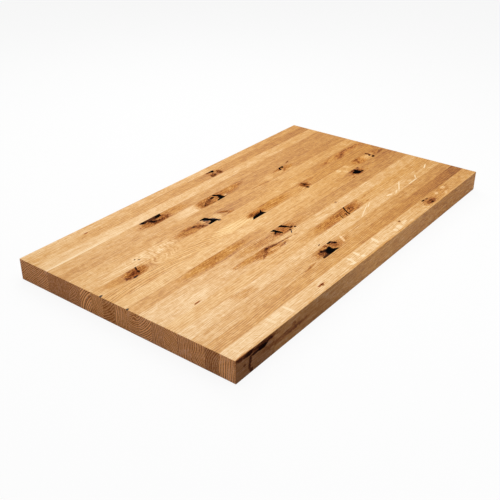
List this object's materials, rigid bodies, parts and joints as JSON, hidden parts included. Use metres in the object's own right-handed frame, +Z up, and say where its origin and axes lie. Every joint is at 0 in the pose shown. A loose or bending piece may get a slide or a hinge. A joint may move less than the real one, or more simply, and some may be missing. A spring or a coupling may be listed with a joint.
{
  "type": "butcher block countertop",
  "caption": "Rectangular edge-glued oak worktop slab of full-length staves, with eased edges and dark-filled knots in its top.",
  "frame": {"origin": "centre of the underside, which rests on the cabinets", "axes": "+X along the staves, +Y towards the back edge, +Z up through the thickness"},
  "size_m": [1.117, 0.635, 0.056],
  "materials": {
    "pale_oak": "sanded and oiled, satin",
    "tan_oak": "sanded and oiled, satin",
    "brown_oak": "sanded and oiled, satin",
    "dark_filler": "dark knot filler sanded flush, satin"
  },
  "bodies": {
    "root": {"back_strip": "tan_oak", "stave_01": "brown_oak", "stave_02": "pale_oak", "stave_03": "brown_oak", "stave_04": "tan_oak", "stave_05": "tan_oak", "stave_06": "tan_oak", "stave_07": "pale_oak", "stave_08": "tan_oak", "stave_09": "pale_oak", "stave_10": "tan_oak", "stave_11": "pale_oak", "stave_12": "pale_oak", "stave_13": "tan_oak", "stave_14": "tan_oak", "stave_15": "tan_oak", "stave_16": "brown_oak", "stave_17": "pale_oak", "front_strip": "tan_oak", "knot_filler_01": "dark_filler", "knot_filler_02": "dark_filler", "knot_filler_03": "dark_filler", "knot_filler_04": "dark_filler", "knot_filler_05": "dark_filler", "knot_filler_06": "dark_filler", "knot_filler_07": "dark_filler", "knot_filler_08": "dark_filler", "knot_filler_09": "dark_filler", "knot_filler_10": "dark_filler", "knot_filler_11": "dark_filler", "knot_filler_12": "dark_filler"}
  },
  "joints": []
}
